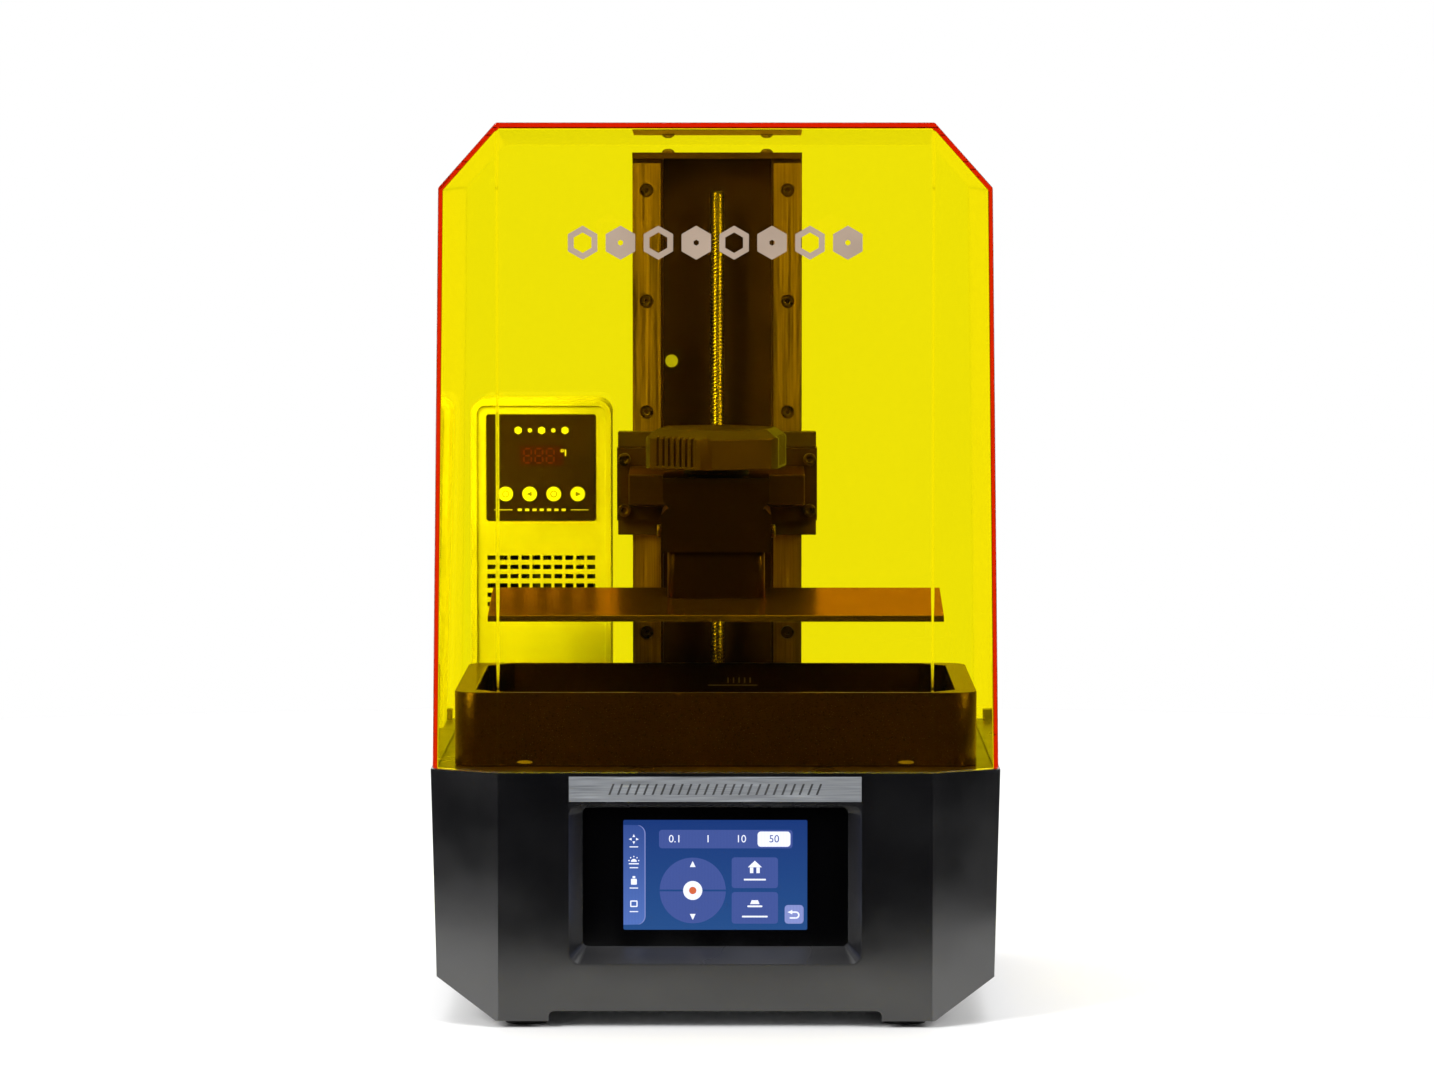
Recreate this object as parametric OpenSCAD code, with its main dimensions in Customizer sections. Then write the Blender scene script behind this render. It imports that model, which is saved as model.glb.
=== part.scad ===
// Desktop resin printer with an amber lift-off cover, a mask LCD and two linear rails.
// Millimetres. X to the right, Y to the back, Z up. Origin on the floor under the centre.

/* [Base] */
// Overall width at the deck
base_w = 292; // [288:1:296]
// Overall depth
base_d = 270; // [268:1:276]
// Height of the deck above the floor
deck_z = 130.8; // [129:0.2:131]
// Width of the flat front between the two slanted facets
flat_w = 221.6; // [216:0.2:228]
// How far back the slanted front facets reach
chamfer_d = 20; // [16:1:24]
// Thickness of the base walls
wall = 3; // [2.6:0.1:3.2]

/* [Cover] */
// Height of the cover's top above the floor
cover_top = 461; // [458:1:470]
// Drop of the cover's top from front to back
top_drop = 8; // [4:1:10]
// Thickness of the amber sheet
sheet = 3; // [2.5:0.1:3.2]

/* [Screen] */
// Width of the recess in the front
bezel_w = 150; // [148:1:152]
// Height of the brushed trim plate
trim_h = 13; // [12:0.2:14]

/* [Vat] */
// Outer width of the vat
vat_w = 267.8; // [266:0.2:270]
// Height of the vat
vat_h = 38.3; // [36:0.1:38.5]

/* [Platform] */
// Width of the build plate
plate_w = 235; // [230:1:236]
// Depth of the build plate
plate_d = 127; // [120:1:127]
// Height of the plate's lower face above the floor
plate_z = 203.6; // [203:0.2:206]

/* [Column] */
// Width of the column
column_w = 92; // [91:1:94]
// Height of the column's top above the floor
column_top = 442.6; // [440:0.2:443]
// Distance between two rail holes
rail_pitch = 60; // [60:1:60]

/* [Heater] */
// Width of the heater box
heater_w = 76; // [75:1:77]
// Height of the heater box's top above the floor
heater_top = 311; // [306:1:312]

/* [Hidden] */
$fn = 48;
slack = 0.2;
over = 1;

// base profile, seen from the front
skirt_z = 3.6;
bevel_z = 23.8;
mid_half = base_w / 2 - 2.8;
bevel_run = 30.9;
notch_half = 85;
notch_z = 8.8;
notch_r = 3;
floor_t = 2;

// cover profile, seen from the front
cover_z = deck_z + slack;
cover_half = base_w / 2 - 1;
shoulder_z = 428;
shoulder_half = base_w / 2 - 5;

// screen recess
bezel_low = 32.6;
bezel_top = deck_z - 1.6;
bezel_r = 6;
glass_half = 67.8;
glass_low = 40.8;
glass_high = 112.2;
bezel_high = glass_high + 3.1;
bezel_lip = 0.4;
recess = 10;
glass_t = 1.2;
lcd_half = 47;
lcd_low = 49.2;
lcd_high = 105.7;
trim_t = 1.2;

// light engine under the deck
deck_t = 3;
mask_front = 50;
mask_back = 185;
mask_half = 117;
mask_low = deck_z - 1;
mask_t = 1;
mask_lip = 4;
engine_half = 119;
engine_front = 47;
engine_back = 188;
engine_z = 56;
engine_t = 2.5;
lens_z = 104;
lens_t = 3;
led_half = 60;
led_front = 72;
led_back = 163;
led_t = 1.6;
led_pitch = 18;

// vat
vat_front = 29;
vat_back = 193;
vat_z = deck_z + slack;
vat_wall = 3;
vat_ledge = 10.9;
vat_r = 12;
pool_half = 120.5;
pool_front = 51.5;
pool_back = 183.5;
film_z = 133.7;
film_t = 0.3;
ring_z = vat_z + 0.2;
ring_half = 131;
ring_front = 38;
ring_back = 190.5;
ring_r = 9;
vat_floor_z = 137;

// cover stops, column, rails and lead screw
stop_x = 129.5;
stop_y = 262;
column_front = 207;
column_d = 40;
channel_half = 29.5;
channel_d = 25;
duct_r = 4;
tapped_r = 1.6;
cap_t = 3.3;
rail_x = 38.2;
rail_half = 7.5;
rail_h = 10;
rail_low = 134;
rail_top = 440;
rail_hole_top = 425.4;
rail_holes = 5;
rail_screw_r = 3.4;
rail_sink = 4.5;
screw_y = 218;
screw_r = 4;
screw_low = 117.1;
screw_top = 425;
run_fit = 0.08;

// Z motor
motor_w = 42.3;
motor_z = 62;
motor_h = 40;
pilot_r = 11;
shaft_r = 2.5;
shaft_top = 116.5;
coupler_z = 107;
coupler_h = 19;
coupler_r = 10;
bracket_t = 3;
bracket_half = 30;

// carriage
block_z = 239;
block_h = 56;
cap_h = 8.5;
block_front = 191;
block_back = 204.5;
block_half = 16;
carriage_t = 8;
carriage_half = 54;
arm_front = 150;
arm_half = 47;
arm_z = 258;
arm_h = 16;
tongue_front = 100;
tongue_half = 18;
tongue_h = 10;
nut_seat = 14;
nut_r = 10;
nut_neck_r = 5.3;
carriage_screw_r = 2;
carriage_screw_x = 50;
carriage_screw_z = [253, 280.5];

// platform
plate_front = 54;
plate_edge = 3.3;
plate_rise = 9.4;
plate_top = plate_z + plate_edge + plate_rise;
mid_y = plate_front + plate_d / 2;
neck_half = 25.5;
neck_d = 51;
clamp_z = 237;
clamp_top = 276;
clamp_half = 28.7;
clamp_d = 57;
clamp_waist = 24.5;
waist_z = 259.8;
pin_y = mid_y - 18;
pin_z = 247.5;
knob_z = 280.4;
knob_top = 301;
knob_r = 40.5;
knob_turn = -7.7;
knob_bevel = 4.6;
stud_low = 268.2;
stud_top = clamp_top + 17;
stud_r = 4;

// heater box
heater_x = -96;
heater_front = 216;
heater_split = 244;
heater_back_y = 258;
heater_r = 8;
heater_wall = 2.5;
heater_rim = 3.2;
heater_face = heater_front + 1.5;
panel_low = 244.9;
panel_high = 303.1;
panel_half = 29.6;
figures_z = 280.5;
button_z = 259.6;
button_r = 3.9;
button_pitch = 13.15;
vent_top = 225.8;
vent_w = 4.4;
vent_h = 2.5;
vent_px = 6;
vent_pz = 5.1;
vent_columns = 10;
vent_rows = 6;
back_slots = 10;
back_slot_z = 248;
blower_z = 205;
blower_size = 60;
blower_t = 15;
blower_y = heater_face + heater_wall;

// mainboard, rear fan, inlet, switch and socket
board_x = -118;
board_y = 196;
fan_x = 78;
fan_z = 70;
fan_size = 80;
fan_t = 25;
fan_hub = 0.2;
fan_seat = 2.5;
fan_shaft_r = 1.5;
fan_y = base_d - wall - fan_t - slack;
grille_r = 39.4;
grille_t = 2;
inlet_x = -92;
inlet_z = 34;
inlet_r = 5.8;
side_y = 72;
switch_z = 86;
switch_h = 22.4;
switch_w = 15;
switch_face = mid_half + 1.3;
switch_back = 122;
rocker_tilt = 8;
rocker_half = 6;
pivot_r = 1.5;
rocker_x = 139.6;
usb_z = 56;
usb_w = 14.5;
usb_h = 7;
usb_face = mid_half + 0.7;

// feet
foot_x = 97;
foot_front = 22;
foot_back = 248;
foot_r = 11;
foot_h = 3.8;
foot_neck_r = 7;
foot_seat_z = 4;
foot_head_r = 3;
foot_hole_r = 1.6;
floor_slot_gap = 16;
floor_slot_y = 118;

// Y of a point that lies d behind the front face
function depth(d) = d - base_d / 2;

// Plan outline of the body, moved inwards by t
function plan(half, t) =
    let (a = atan2(chamfer_d, half - flat_w / 2),
         x = flat_w / 2 - t * tan(a / 2),
         y = depth(chamfer_d + t * tan((90 - a) / 2)),
         back = depth(base_d - t))
    [[-x, depth(t)], [x, depth(t)], [half - t, y],
     [half - t, back], [t - half, back], [t - half, y]];

// Front view of the base, moved inwards by t, starting at height z
bevel_a = atan2(bevel_z - skirt_z, bevel_run);
function base_profile(t, z, top) =
    let (corner = bevel_z + t * tan((90 - bevel_a) / 2),
         low = mid_half - t - (corner - z) / tan(bevel_a),
         high = base_w / 2 - t)
    [[-low, z], [low, z], [mid_half - t, corner], [high, top], [-high, top], [t - mid_half, corner]];

// Half the inner width of the base at height z, below the bevel's corner
function inner_half(z) =
    mid_half - wall - (bevel_z + wall * tan((90 - bevel_a) / 2) - z) / tan(bevel_a);

// Front view of the cover, moved inwards by t
shoulder_a = atan2(cover_top - shoulder_z, shoulder_half - flat_w / 2);
function cover_profile(t, z) =
    let (corner = shoulder_z - t * tan((90 - shoulder_a) / 2),
         edge = flat_w / 2 - t * tan(shoulder_a / 2))
    [[-(cover_half - t), z], [cover_half - t, z], [shoulder_half - t, corner],
     [edge, cover_top - t], [-edge, cover_top - t], [t - shoulder_half, corner]];

// Rounded rectangle
module rounded(w, h, r) {
    square([w - 2 * r, h], center = true);
    square([w, h - 2 * r], center = true);
    for (x = [-1, 1], y = [-1, 1])
        translate([x * (w / 2 - r), y * (h / 2 - r)]) circle(r);
}

// Outline in X and Z, drawn d deep towards the back from depth y
module upright(y, d) {
    translate([0, depth(y), 0]) rotate([90, 0, 0]) translate([0, 0, -d]) linear_extrude(d) children();
}

// Outline in Y and Z, drawn w wide towards the right from x
module sideways(x, w) {
    translate([x, 0, 0]) rotate([90, 0, 90]) linear_extrude(w) children();
}

// Box given by its width about x = 0, its depths and its heights
module block(half, front, back, low, high) {
    translate([-half, depth(front), low]) cube([2 * half, back - front, high - low]);
}

// Cylinder along Y that starts at depth y
module rod_y(x, y, z, r, length) {
    translate([x, depth(y), z]) rotate([-90, 0, 0]) cylinder(h = length, r = r);
}

// ---- base ----

module body_solid(t, z, top) {
    intersection() {
        translate([0, 0, z]) linear_extrude(top - z) polygon(plan(base_w / 2, t));
        upright(-over, base_d + 2 * over) polygon(base_profile(t, z, deck_z));
    }
}

// Front view of the screen recess, grown by g, with square top corners
module bezel_outline(g) {
    h = bezel_top - bezel_low;
    translate([0, bezel_low + h / 2]) rounded(bezel_w + 2 * g, h + 2 * g, bezel_r);
    translate([-bezel_w / 2 - g, bezel_low + h / 2]) square([bezel_w + 2 * g, h / 2 + g]);
}

module rear_vents() {
    half_count = 4;
    gap = 8;
    z = 84;
    for (i = [-half_count:half_count])
        upright(base_d - wall - over, wall + 2 * over)
            translate([inlet_x + i * gap, z]) rounded(3.4, 34, 1.6);
}

// Square hole through the right wall
module side_hole(z, w, h) {
    reach = 4 * wall;
    translate([base_w / 2 - reach / 2, depth(side_y), z]) rotate([90, 0, 90])
        linear_extrude(reach) square([w + slack, h + slack], center = true);
}

module base_shell() color([0.06, 0.06, 0.07]) difference() {
    body_solid(0, skirt_z, deck_z);
    body_solid(wall, skirt_z - over, deck_z + over);
    upright(-over, base_d + 2 * over) rounded(2 * notch_half, 2 * notch_z, notch_r);
    upright(-over, wall + 2 * over) bezel_outline(slack / 2);
    side_hole(switch_z, switch_w, switch_h);
    side_hole(usb_z, usb_w, usb_h);
    rod_y(fan_x, base_d - wall - over, fan_z, grille_r + slack, wall + 2 * over);
    rod_y(inlet_x, base_d - wall - over, inlet_z, inlet_r + slack, wall + 2 * over);
    rear_vents();
}

module foot_places() {
    for (x = [-foot_x, foot_x], y = [foot_front, foot_back])
        translate([x, depth(y), 0]) children();
}

module bottom_plate() color([0.55, 0.56, 0.57]) difference() {
    translate([0, 0, notch_z]) linear_extrude(floor_t) intersection() {
        polygon(plan(base_w / 2, wall + slack));
        square([2 * inner_half(notch_z) - 1, base_d], center = true);
    }
    foot_places() translate([0, 0, notch_z - over]) cylinder(h = floor_t + 2 * over, r = foot_hole_r);
    for (i = [-4:4])
        translate([i * floor_slot_gap, depth(floor_slot_y), notch_z - over])
            linear_extrude(floor_t + 2 * over) rounded(5, 80, 2.4);
}

module rubber_feet() color([0.03, 0.03, 0.03]) foot_places() difference() {
    union() {
        cylinder(h = foot_h, r = foot_r);
        cylinder(h = notch_z, r = foot_neck_r);
    }
    translate([0, 0, -over]) cylinder(h = foot_seat_z + over, r = foot_head_r + 0.4);
    cylinder(h = notch_z + over, r = foot_hole_r);
}

module foot_screws() color("silver") foot_places() {
    head_h = 2;
    shank = 9;
    translate([0, 0, foot_seat_z - head_h]) cylinder(h = head_h, r = foot_head_r);
    translate([0, 0, foot_seat_z]) cylinder(h = shank, r = foot_hole_r - 0.1);
}

module deck_plate() color([0.08, 0.08, 0.085]) difference() {
    translate([0, 0, deck_z - deck_t]) linear_extrude(deck_t)
        polygon(plan(base_w / 2, wall + slack));
    block(mask_half - mask_lip, mask_front + mask_lip, mask_back - mask_lip, deck_z - deck_t - over,
          deck_z + over);
    block(mask_half + slack, mask_front - slack, mask_back + slack, mask_low, deck_z + over);
    translate([0, depth(screw_y), deck_z - deck_t - over]) cylinder(h = deck_t + 2 * over, r = 2 * screw_r);
}

module screen_bezel() color([0.16, 0.16, 0.17]) difference() {
    union() {
        upright(0, wall) bezel_outline(-slack / 2);
        upright(wall - 0.01, slack + 0.02) bezel_outline(-slack / 2);
        intersection() {
            upright(wall + slack, recess - wall - slack) bezel_outline(wall / 2);
            block(bezel_w, 0, recess, 0, deck_z - deck_t - slack);
        }
    }
    hull() {
        upright(-0.1, 0.1) translate([0, (bezel_low + bezel_high) / 2])
            rounded(bezel_w - 2 * bezel_lip, bezel_high - bezel_low - 2 * bezel_lip, bezel_r);
        upright(recess, 0.1) translate([0, (glass_low + glass_high) / 2])
            rounded(2 * glass_half, glass_high - glass_low, bezel_r / 2);
    }
    translate([-bezel_w, depth(-over), bezel_top - trim_h - slack])
        cube([2 * bezel_w, over + trim_t, trim_h + over]);
}

module trim_plate() color([0.72, 0.73, 0.75])
    block(bezel_w / 2 - 0.5, 0, trim_t, bezel_top - trim_h, bezel_top - slack);

module touch_glass() color([0.02, 0.02, 0.025])
    upright(recess + 0.1, glass_t) translate([0, (glass_low + glass_high) / 2])
        rounded(2 * glass_half + 6, glass_high - glass_low + 4, 2);

module display_panel() color([0.10, 0.30, 0.60])
    block(lcd_half + 3, recess + 0.2 + glass_t, recess + glass_t + 4.2, lcd_low - 3, lcd_high + 3);

// ---- light engine ----

module mask_lcd() color([0.01, 0.01, 0.015])
    block(mask_half, mask_front, mask_back, mask_low, mask_low + mask_t);

module light_housing() color([0.1, 0.1, 0.1]) difference() {
    top = deck_z - deck_t;
    inner = engine_half - engine_t;
    front = engine_front + engine_t;
    back = engine_back - engine_t;
    block(engine_half, engine_front, engine_back, engine_z, top);
    block(inner, front, back, lens_z, top + over);
    block(inner - 3, front + 3, back - 3, engine_z + engine_t, lens_z + over);
    block(led_half - 3, led_front + 3, led_back - 3, engine_z - over, engine_z + engine_t + over);
}

module collimating_lens() color([0.8, 0.85, 0.9, 0.5])
    block(engine_half - engine_t - slack, engine_front + engine_t + slack,
          engine_back - engine_t - slack, lens_z, lens_z + lens_t);

module uv_led_array() {
    color([0.1, 0.35, 0.2]) block(led_half, led_front, led_back, engine_z - led_t, engine_z);
    color([0.95, 0.9, 0.6])
        for (i = [-2.5:2.5], j = [-1.5:1.5])
            translate([i * led_pitch, depth((led_front + led_back) / 2) + j * led_pitch, engine_z])
                cylinder(h = 2, r = 3.2);
}

module led_heatsink() color([0.7, 0.71, 0.72]) {
    half = led_half + 5;
    top = engine_z - led_t;
    fins = 13;
    gap = (2 * half - 2) / (fins - 1);
    block(half, led_front - 4, led_back + 4, top - 5, top);
    for (i = [0:fins - 1])
        translate([-half + i * gap, depth(led_front - 4), top - 22])
            cube([2, led_back - led_front + 8, 17]);
}

module mainboard() {
    board = [88, 62, 1.6];
    post_h = 4;
    margin = 4;
    holes = [for (x = [margin, board.x - margin], y = [margin, board.y - margin]) [x, y, 0]];
    translate([board_x, depth(board_y), notch_z + floor_t]) {
        color([0.05, 0.25, 0.12]) difference() {
            translate([0, 0, post_h]) cube(board);
            for (place = holes)
                translate(place) cylinder(h = 2 * post_h, r = foot_hole_r);
        }
        color("silver")
            for (place = holes)
                translate(place) cylinder(h = post_h, r = 2.5);
        color([0.03, 0.03, 0.03]) translate([0, 0, post_h + board.z]) {
            chip = [16, 16, 1.4];
            socket = [14, 10, 8];
            plug_row = [20, 8, 7];
            translate([34, 22, 0]) cube(chip);
            translate([10, 8, 0]) cube(socket);
            translate([60, 8, 0]) cube(plug_row);
            for (i = [0:3])
                translate([14 + 16 * i, 52, 0]) cylinder(h = 11, r = 4);
        }
    }
}

// ---- rear fan, inlet, switch and socket ----

// Square fan frame, blowing along Y, with its motor seat and three struts
module fan_frame(x, y, z, size, thick) {
    hole = size * 0.44;
    difference() {
        upright(y, thick) translate([x, z]) rounded(size, size, size * 0.06);
        rod_y(x, y - over, z, size * 0.48, thick + 2 * over);
        for (sx = [-1, 1], sz = [-1, 1])
            rod_y(x + sx * hole, y - over, z + sz * hole, size * 0.025, thick + 2 * over);
    }
    difference() {
        union() {
            rod_y(x, y, z, size * fan_hub, fan_seat);
            for (a = [0:120:240])
                translate([x, 0, z]) rotate([0, a, 0]) translate([-2, depth(y), 0])
                    cube([4, fan_seat, size * 0.485]);
        }
        rod_y(x, y - over, z, fan_shaft_r + run_fit, fan_seat + 2 * over);
    }
}

// Hub with a short shaft and slanted blades
module fan_rotor(x, y, z, size, thick) {
    blades = 9;
    blade_t = 1.4;
    hub = size * fan_hub;
    start = fan_seat + 1;
    length = thick - start - 2;
    rod_y(x, y + start, z, hub, length);
    rod_y(x, y + 0.3, z, fan_shaft_r, start - slack);
    intersection() {
        rod_y(x, y + start, z, size * 0.47, length);
        union()
            for (i = [0:blades - 1])
                translate([x, depth(y + start + length / 2), z]) rotate([0, i * 360 / blades, 0])
                    translate([0, 0, hub * 0.9]) rotate([0, 0, 38])
                        translate([-blade_t / 2, -length, 0]) cube([blade_t, 2 * length, size * 0.4]);
    }
}

module cooling_fan_frame() color([0.08, 0.08, 0.08])
    fan_frame(fan_x, fan_y, fan_z, fan_size, fan_t);

module cooling_fan_rotor() color([0.12, 0.12, 0.12])
    fan_rotor(fan_x, fan_y, fan_z, fan_size, fan_t);

module fan_grille() color([0.1, 0.1, 0.1]) translate([fan_x, depth(base_d - grille_t), fan_z])
    rotate([-90, 0, 0]) {
        step = 7.4;
        bar = 2.4;
        for (i = [0:4])
            difference() {
                cylinder(h = grille_t, r = grille_r - i * step);
                translate([0, 0, -over]) cylinder(h = grille_t + 2 * over, r = grille_r - i * step - 2);
            }
        cylinder(h = grille_t, r = 4);
        for (a = [45:90:315])
            rotate([0, 0, a]) translate([0, -bar / 2, 0]) cube([grille_r - 1, bar, grille_t]);
    }

module power_inlet() color([0.05, 0.05, 0.05]) {
    back = base_d - 14;
    flange = base_d - 7;
    socket = base_d - 10;
    difference() {
        union() {
            rod_y(inlet_x, back, inlet_z, inlet_r, base_d - back);
            rod_y(inlet_x, flange, inlet_z, 8, base_d - wall - flange);
        }
        rod_y(inlet_x, socket, inlet_z, 3.3, base_d);
    }
    rod_y(inlet_x, socket - over, inlet_z, 1.25, 9);
}

module switch_housing() color([0.05, 0.05, 0.05]) difference() {
    translate([switch_back, depth(side_y) - switch_w / 2, switch_z - switch_h / 2])
        cube([switch_face - switch_back, switch_w, switch_h]);
    translate([switch_back + 8, depth(side_y) - rocker_half - 0.3, switch_z - 9.9])
        cube([20, 2 * rocker_half + 0.6, 19.8]);
    rod_y(rocker_x, side_y - rocker_half - 1.1, switch_z, pivot_r + run_fit, 2 * rocker_half + 2.2);
}

module power_rocker() color([0.09, 0.09, 0.09])
    translate([rocker_x, depth(side_y), switch_z]) rotate([0, rocker_tilt, 0]) {
        rotate([90, 0, 0]) linear_extrude(2 * rocker_half, center = true)
            polygon([[5.2, 8.8], [3.8, 0], [5.2, -8.8], [1, -8.2], [1, 8.2]]);
        rotate([90, 0, 0]) cylinder(h = 2 * rocker_half, r = 3.5, center = true);
        rotate([90, 0, 0]) cylinder(h = 2 * rocker_half + 2, r = pivot_r, center = true);
    }

module usb_port() {
    back = 127;
    inside = back + 3;
    shell = 1;
    tongue = [11, 11, 1.8];
    color("silver") difference() {
        translate([back, depth(side_y) - usb_w / 2, usb_z - usb_h / 2])
            cube([usb_face - back, usb_w, usb_h]);
        translate([inside, depth(side_y) - usb_w / 2 + shell, usb_z - usb_h / 2 + shell])
            cube([usb_face, usb_w - 2 * shell, usb_h - 2 * shell]);
    }
    color([0.05, 0.1, 0.4]) translate([inside, depth(side_y) - tongue.y / 2, usb_z + 0.4]) cube(tongue);
}

// ---- column ----

module cover_stops() color([0.1, 0.1, 0.1])
    for (x = [-stop_x, stop_x])
        translate([x, depth(stop_y), deck_z]) linear_extrude(6) rounded(15, 7, 1.5);

module cap_places() {
    for (x = [-27, 27])
        translate([x, depth(column_front + channel_d + 8), column_top]) children();
}

module column() color([0.07, 0.07, 0.07]) difference() {
    block(column_w / 2, column_front, column_front + column_d, deck_z, column_top);
    block(channel_half, column_front - over, column_front + channel_d, deck_z - over, column_top + over);
    for (x = [-1, 1])
        translate([x * rail_x, depth(column_front + column_d - 8), deck_z - over])
            cylinder(h = column_top, r = duct_r);
    for (x = [-rail_x, rail_x], i = [0:rail_holes - 1])
        rod_y(x, column_front - over, rail_hole_top - i * rail_pitch, tapped_r, 12);
    cap_places() translate([0, 0, -12]) cylinder(h = 20, r = tapped_r);
}

module column_cap() color([0.1, 0.1, 0.1]) difference() {
    block(column_w / 2, column_front - 6, column_front + column_d, column_top, column_top + cap_t);
    cap_places() translate([0, 0, -over]) cylinder(h = 6, r = tapped_r);
}

module cap_screws() color("dimgray") cap_places() {
    shank = 9;
    dome = 4.4;
    translate([0, 0, -shank]) cylinder(h = shank + cap_t, r = tapped_r - 0.1);
    translate([0, 0, cap_t]) intersection() {
        cylinder(h = 2, r = 3.5);
        translate([0, 0, -dome / 2]) sphere(dome);
    }
}

// Rail section with a waist along each side
module rail_section() {
    waist = rail_half - 1.5;
    side = [[rail_half, -3], [waist, -4.2], [waist, -5.8], [rail_half, -7], [rail_half, -rail_h]];
    polygon(concat([[-rail_half, 0], [rail_half, 0]], side,
                   [for (i = [len(side) - 1:-1:0]) [-side[i].x, side[i].y]]));
}

module linear_rails() color([0.42, 0.42, 0.43]) difference() {
    for (x = [-rail_x, rail_x])
        translate([x, depth(column_front), rail_low]) linear_extrude(rail_top - rail_low) rail_section();
    for (x = [-rail_x, rail_x], i = [0:rail_holes - 1]) {
        z = rail_hole_top - i * rail_pitch;
        rod_y(x, column_front - rail_h - over, z, rail_screw_r + 0.35, rail_sink + over);
        rod_y(x, column_front - rail_h, z, 2.3, rail_h + over);
    }
}

module rail_screws() color("dimgray")
    for (x = [-rail_x, rail_x], i = [0:rail_holes - 1]) {
        z = rail_hole_top - i * rail_pitch;
        difference() {
            rod_y(x, column_front - rail_h + 1, z, rail_screw_r, rail_sink - 1);
            rod_y(x, column_front - rail_h, z, 1.4, 3);
        }
        rod_y(x, column_front - rail_h + rail_sink, z, tapped_r - 0.1, 15);
    }

module screw_bearing() color([0.5, 0.5, 0.5]) difference() {
    height = 9;
    translate([0, depth(screw_y), deck_z]) linear_extrude(height) rounded(26, 20, 2);
    translate([0, depth(screw_y), deck_z - over]) cylinder(h = height + 2 * over, r = screw_r + run_fit);
}

module lead_screw() color([0.75, 0.6, 0.35])
    translate([0, depth(screw_y), screw_low]) cylinder(h = screw_top - screw_low, r = screw_r);

module motor_coupler() color([0.7, 0.71, 0.73]) translate([0, depth(screw_y), 0]) difference() {
    translate([0, 0, coupler_z]) cylinder(h = coupler_h, r = coupler_r);
    translate([0, 0, coupler_z - over]) cylinder(h = screw_low - coupler_z + over, r = shaft_r + run_fit);
    translate([0, 0, screw_low]) cylinder(h = coupler_h, r = screw_r + 0.05);
}

module z_motor() color([0.15, 0.15, 0.16]) translate([0, depth(screw_y), 0]) {
    translate([0, 0, motor_z]) linear_extrude(motor_h) rounded(motor_w, motor_w, 4);
    translate([0, 0, motor_z + motor_h]) cylinder(h = 2, r = pilot_r);
    translate([0, 0, motor_z + motor_h]) cylinder(h = shaft_top - motor_z - motor_h, r = shaft_r);
}

module motor_bracket() color([0.3, 0.3, 0.31]) difference() {
    low = motor_z + motor_h;
    top = deck_z - deck_t;
    block(bracket_half, screw_y - 22, screw_y + 22, low, top);
    block(bracket_half - bracket_t, screw_y - 23, screw_y + 23, low + bracket_t, top - bracket_t);
    translate([0, depth(screw_y), low - over]) cylinder(h = bracket_t + 2 * over, r = pilot_r + 0.1);
    translate([0, depth(screw_y), top - bracket_t - over])
        cylinder(h = bracket_t + 2 * over, r = coupler_r + 1);
}

module limit_sensor() color([0.05, 0.05, 0.05]) difference() {
    y = column_front + channel_d;
    block(4, y - 9, y, 144, 160);
    block(1.5, y - 9 - over, y - 3, 149, 155);
}

// ---- carriage ----

module slider_block(x) difference() {
    translate([x - block_half, depth(block_front), block_z + cap_h])
        cube([2 * block_half, block_back - block_front, block_h - 2 * cap_h]);
    rail_gap(x);
    carriage_holes(carriage_screw_r + 0.1);
}

// Space that a block keeps round its rail
module rail_gap(x) {
    translate([x - rail_half - 0.3, depth(column_front - rail_h - 0.3), block_z - over])
        cube([2 * rail_half + 0.6, 20, block_h + 2 * over]);
}

module carriage_holes(r) {
    for (x = [-carriage_screw_x, carriage_screw_x], z = carriage_screw_z)
        rod_y(x, block_front - carriage_t - over, z, r, carriage_t + 5);
}

module slider_blocks() color([0.35, 0.35, 0.36]) {
    slider_block(-rail_x);
    slider_block(rail_x);
}

module block_end_caps() color([0.06, 0.06, 0.06])
    for (x = [-rail_x, rail_x], z = [block_z, block_z + block_h - cap_h])
        difference() {
            translate([x - block_half + 0.5, depth(block_front + 0.5), z])
                cube([2 * block_half - 1, block_back - block_front - 1, cap_h]);
            rail_gap(x);
        }

module carriage_plate() color([0.1, 0.1, 0.1]) difference() {
    union() {
        block(carriage_half, block_front - carriage_t, block_front, block_z + cap_h,
              block_z + block_h - cap_h);
        block(nut_seat, block_front, screw_y + nut_r, block_z + cap_h, block_z + cap_h + nut_seat);
    }
    translate([0, depth(screw_y), block_z]) cylinder(h = 40, r = nut_neck_r + 0.1);
    carriage_holes(carriage_screw_r + 0.1);
}

module lead_nut() color([0.8, 0.65, 0.3]) translate([0, depth(screw_y), block_z + cap_h]) difference() {
    union() {
        translate([0, 0, -2]) cylinder(h = 22, r = nut_neck_r);
        translate([0, 0, nut_seat]) cylinder(h = 3.5, r = nut_r);
    }
    translate([0, 0, -3]) cylinder(h = 24, r = screw_r + run_fit);
}

module carriage_screws() color([0.5, 0.5, 0.52])
    for (x = [-carriage_screw_x, carriage_screw_x], z = carriage_screw_z) {
        difference() {
            rod_y(x, block_front - carriage_t - 3, z, 3.4, 3);
            rod_y(x, block_front - carriage_t - 4, z, 1.6, 3);
        }
        rod_y(x, block_front - carriage_t, z, carriage_screw_r, carriage_t + 3);
    }

module support_arm() color([0.12, 0.12, 0.12]) {
    back = block_front - carriage_t;
    sideways(-arm_half, 2 * arm_half)
        polygon([[depth(back), arm_z - 3], [depth(back), arm_z + arm_h + 3],
                 [depth(arm_front), arm_z + arm_h], [depth(arm_front), arm_z]]);
    block(tongue_half, tongue_front, arm_front, arm_z, arm_z + tongue_h);
}

// ---- platform ----

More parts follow.
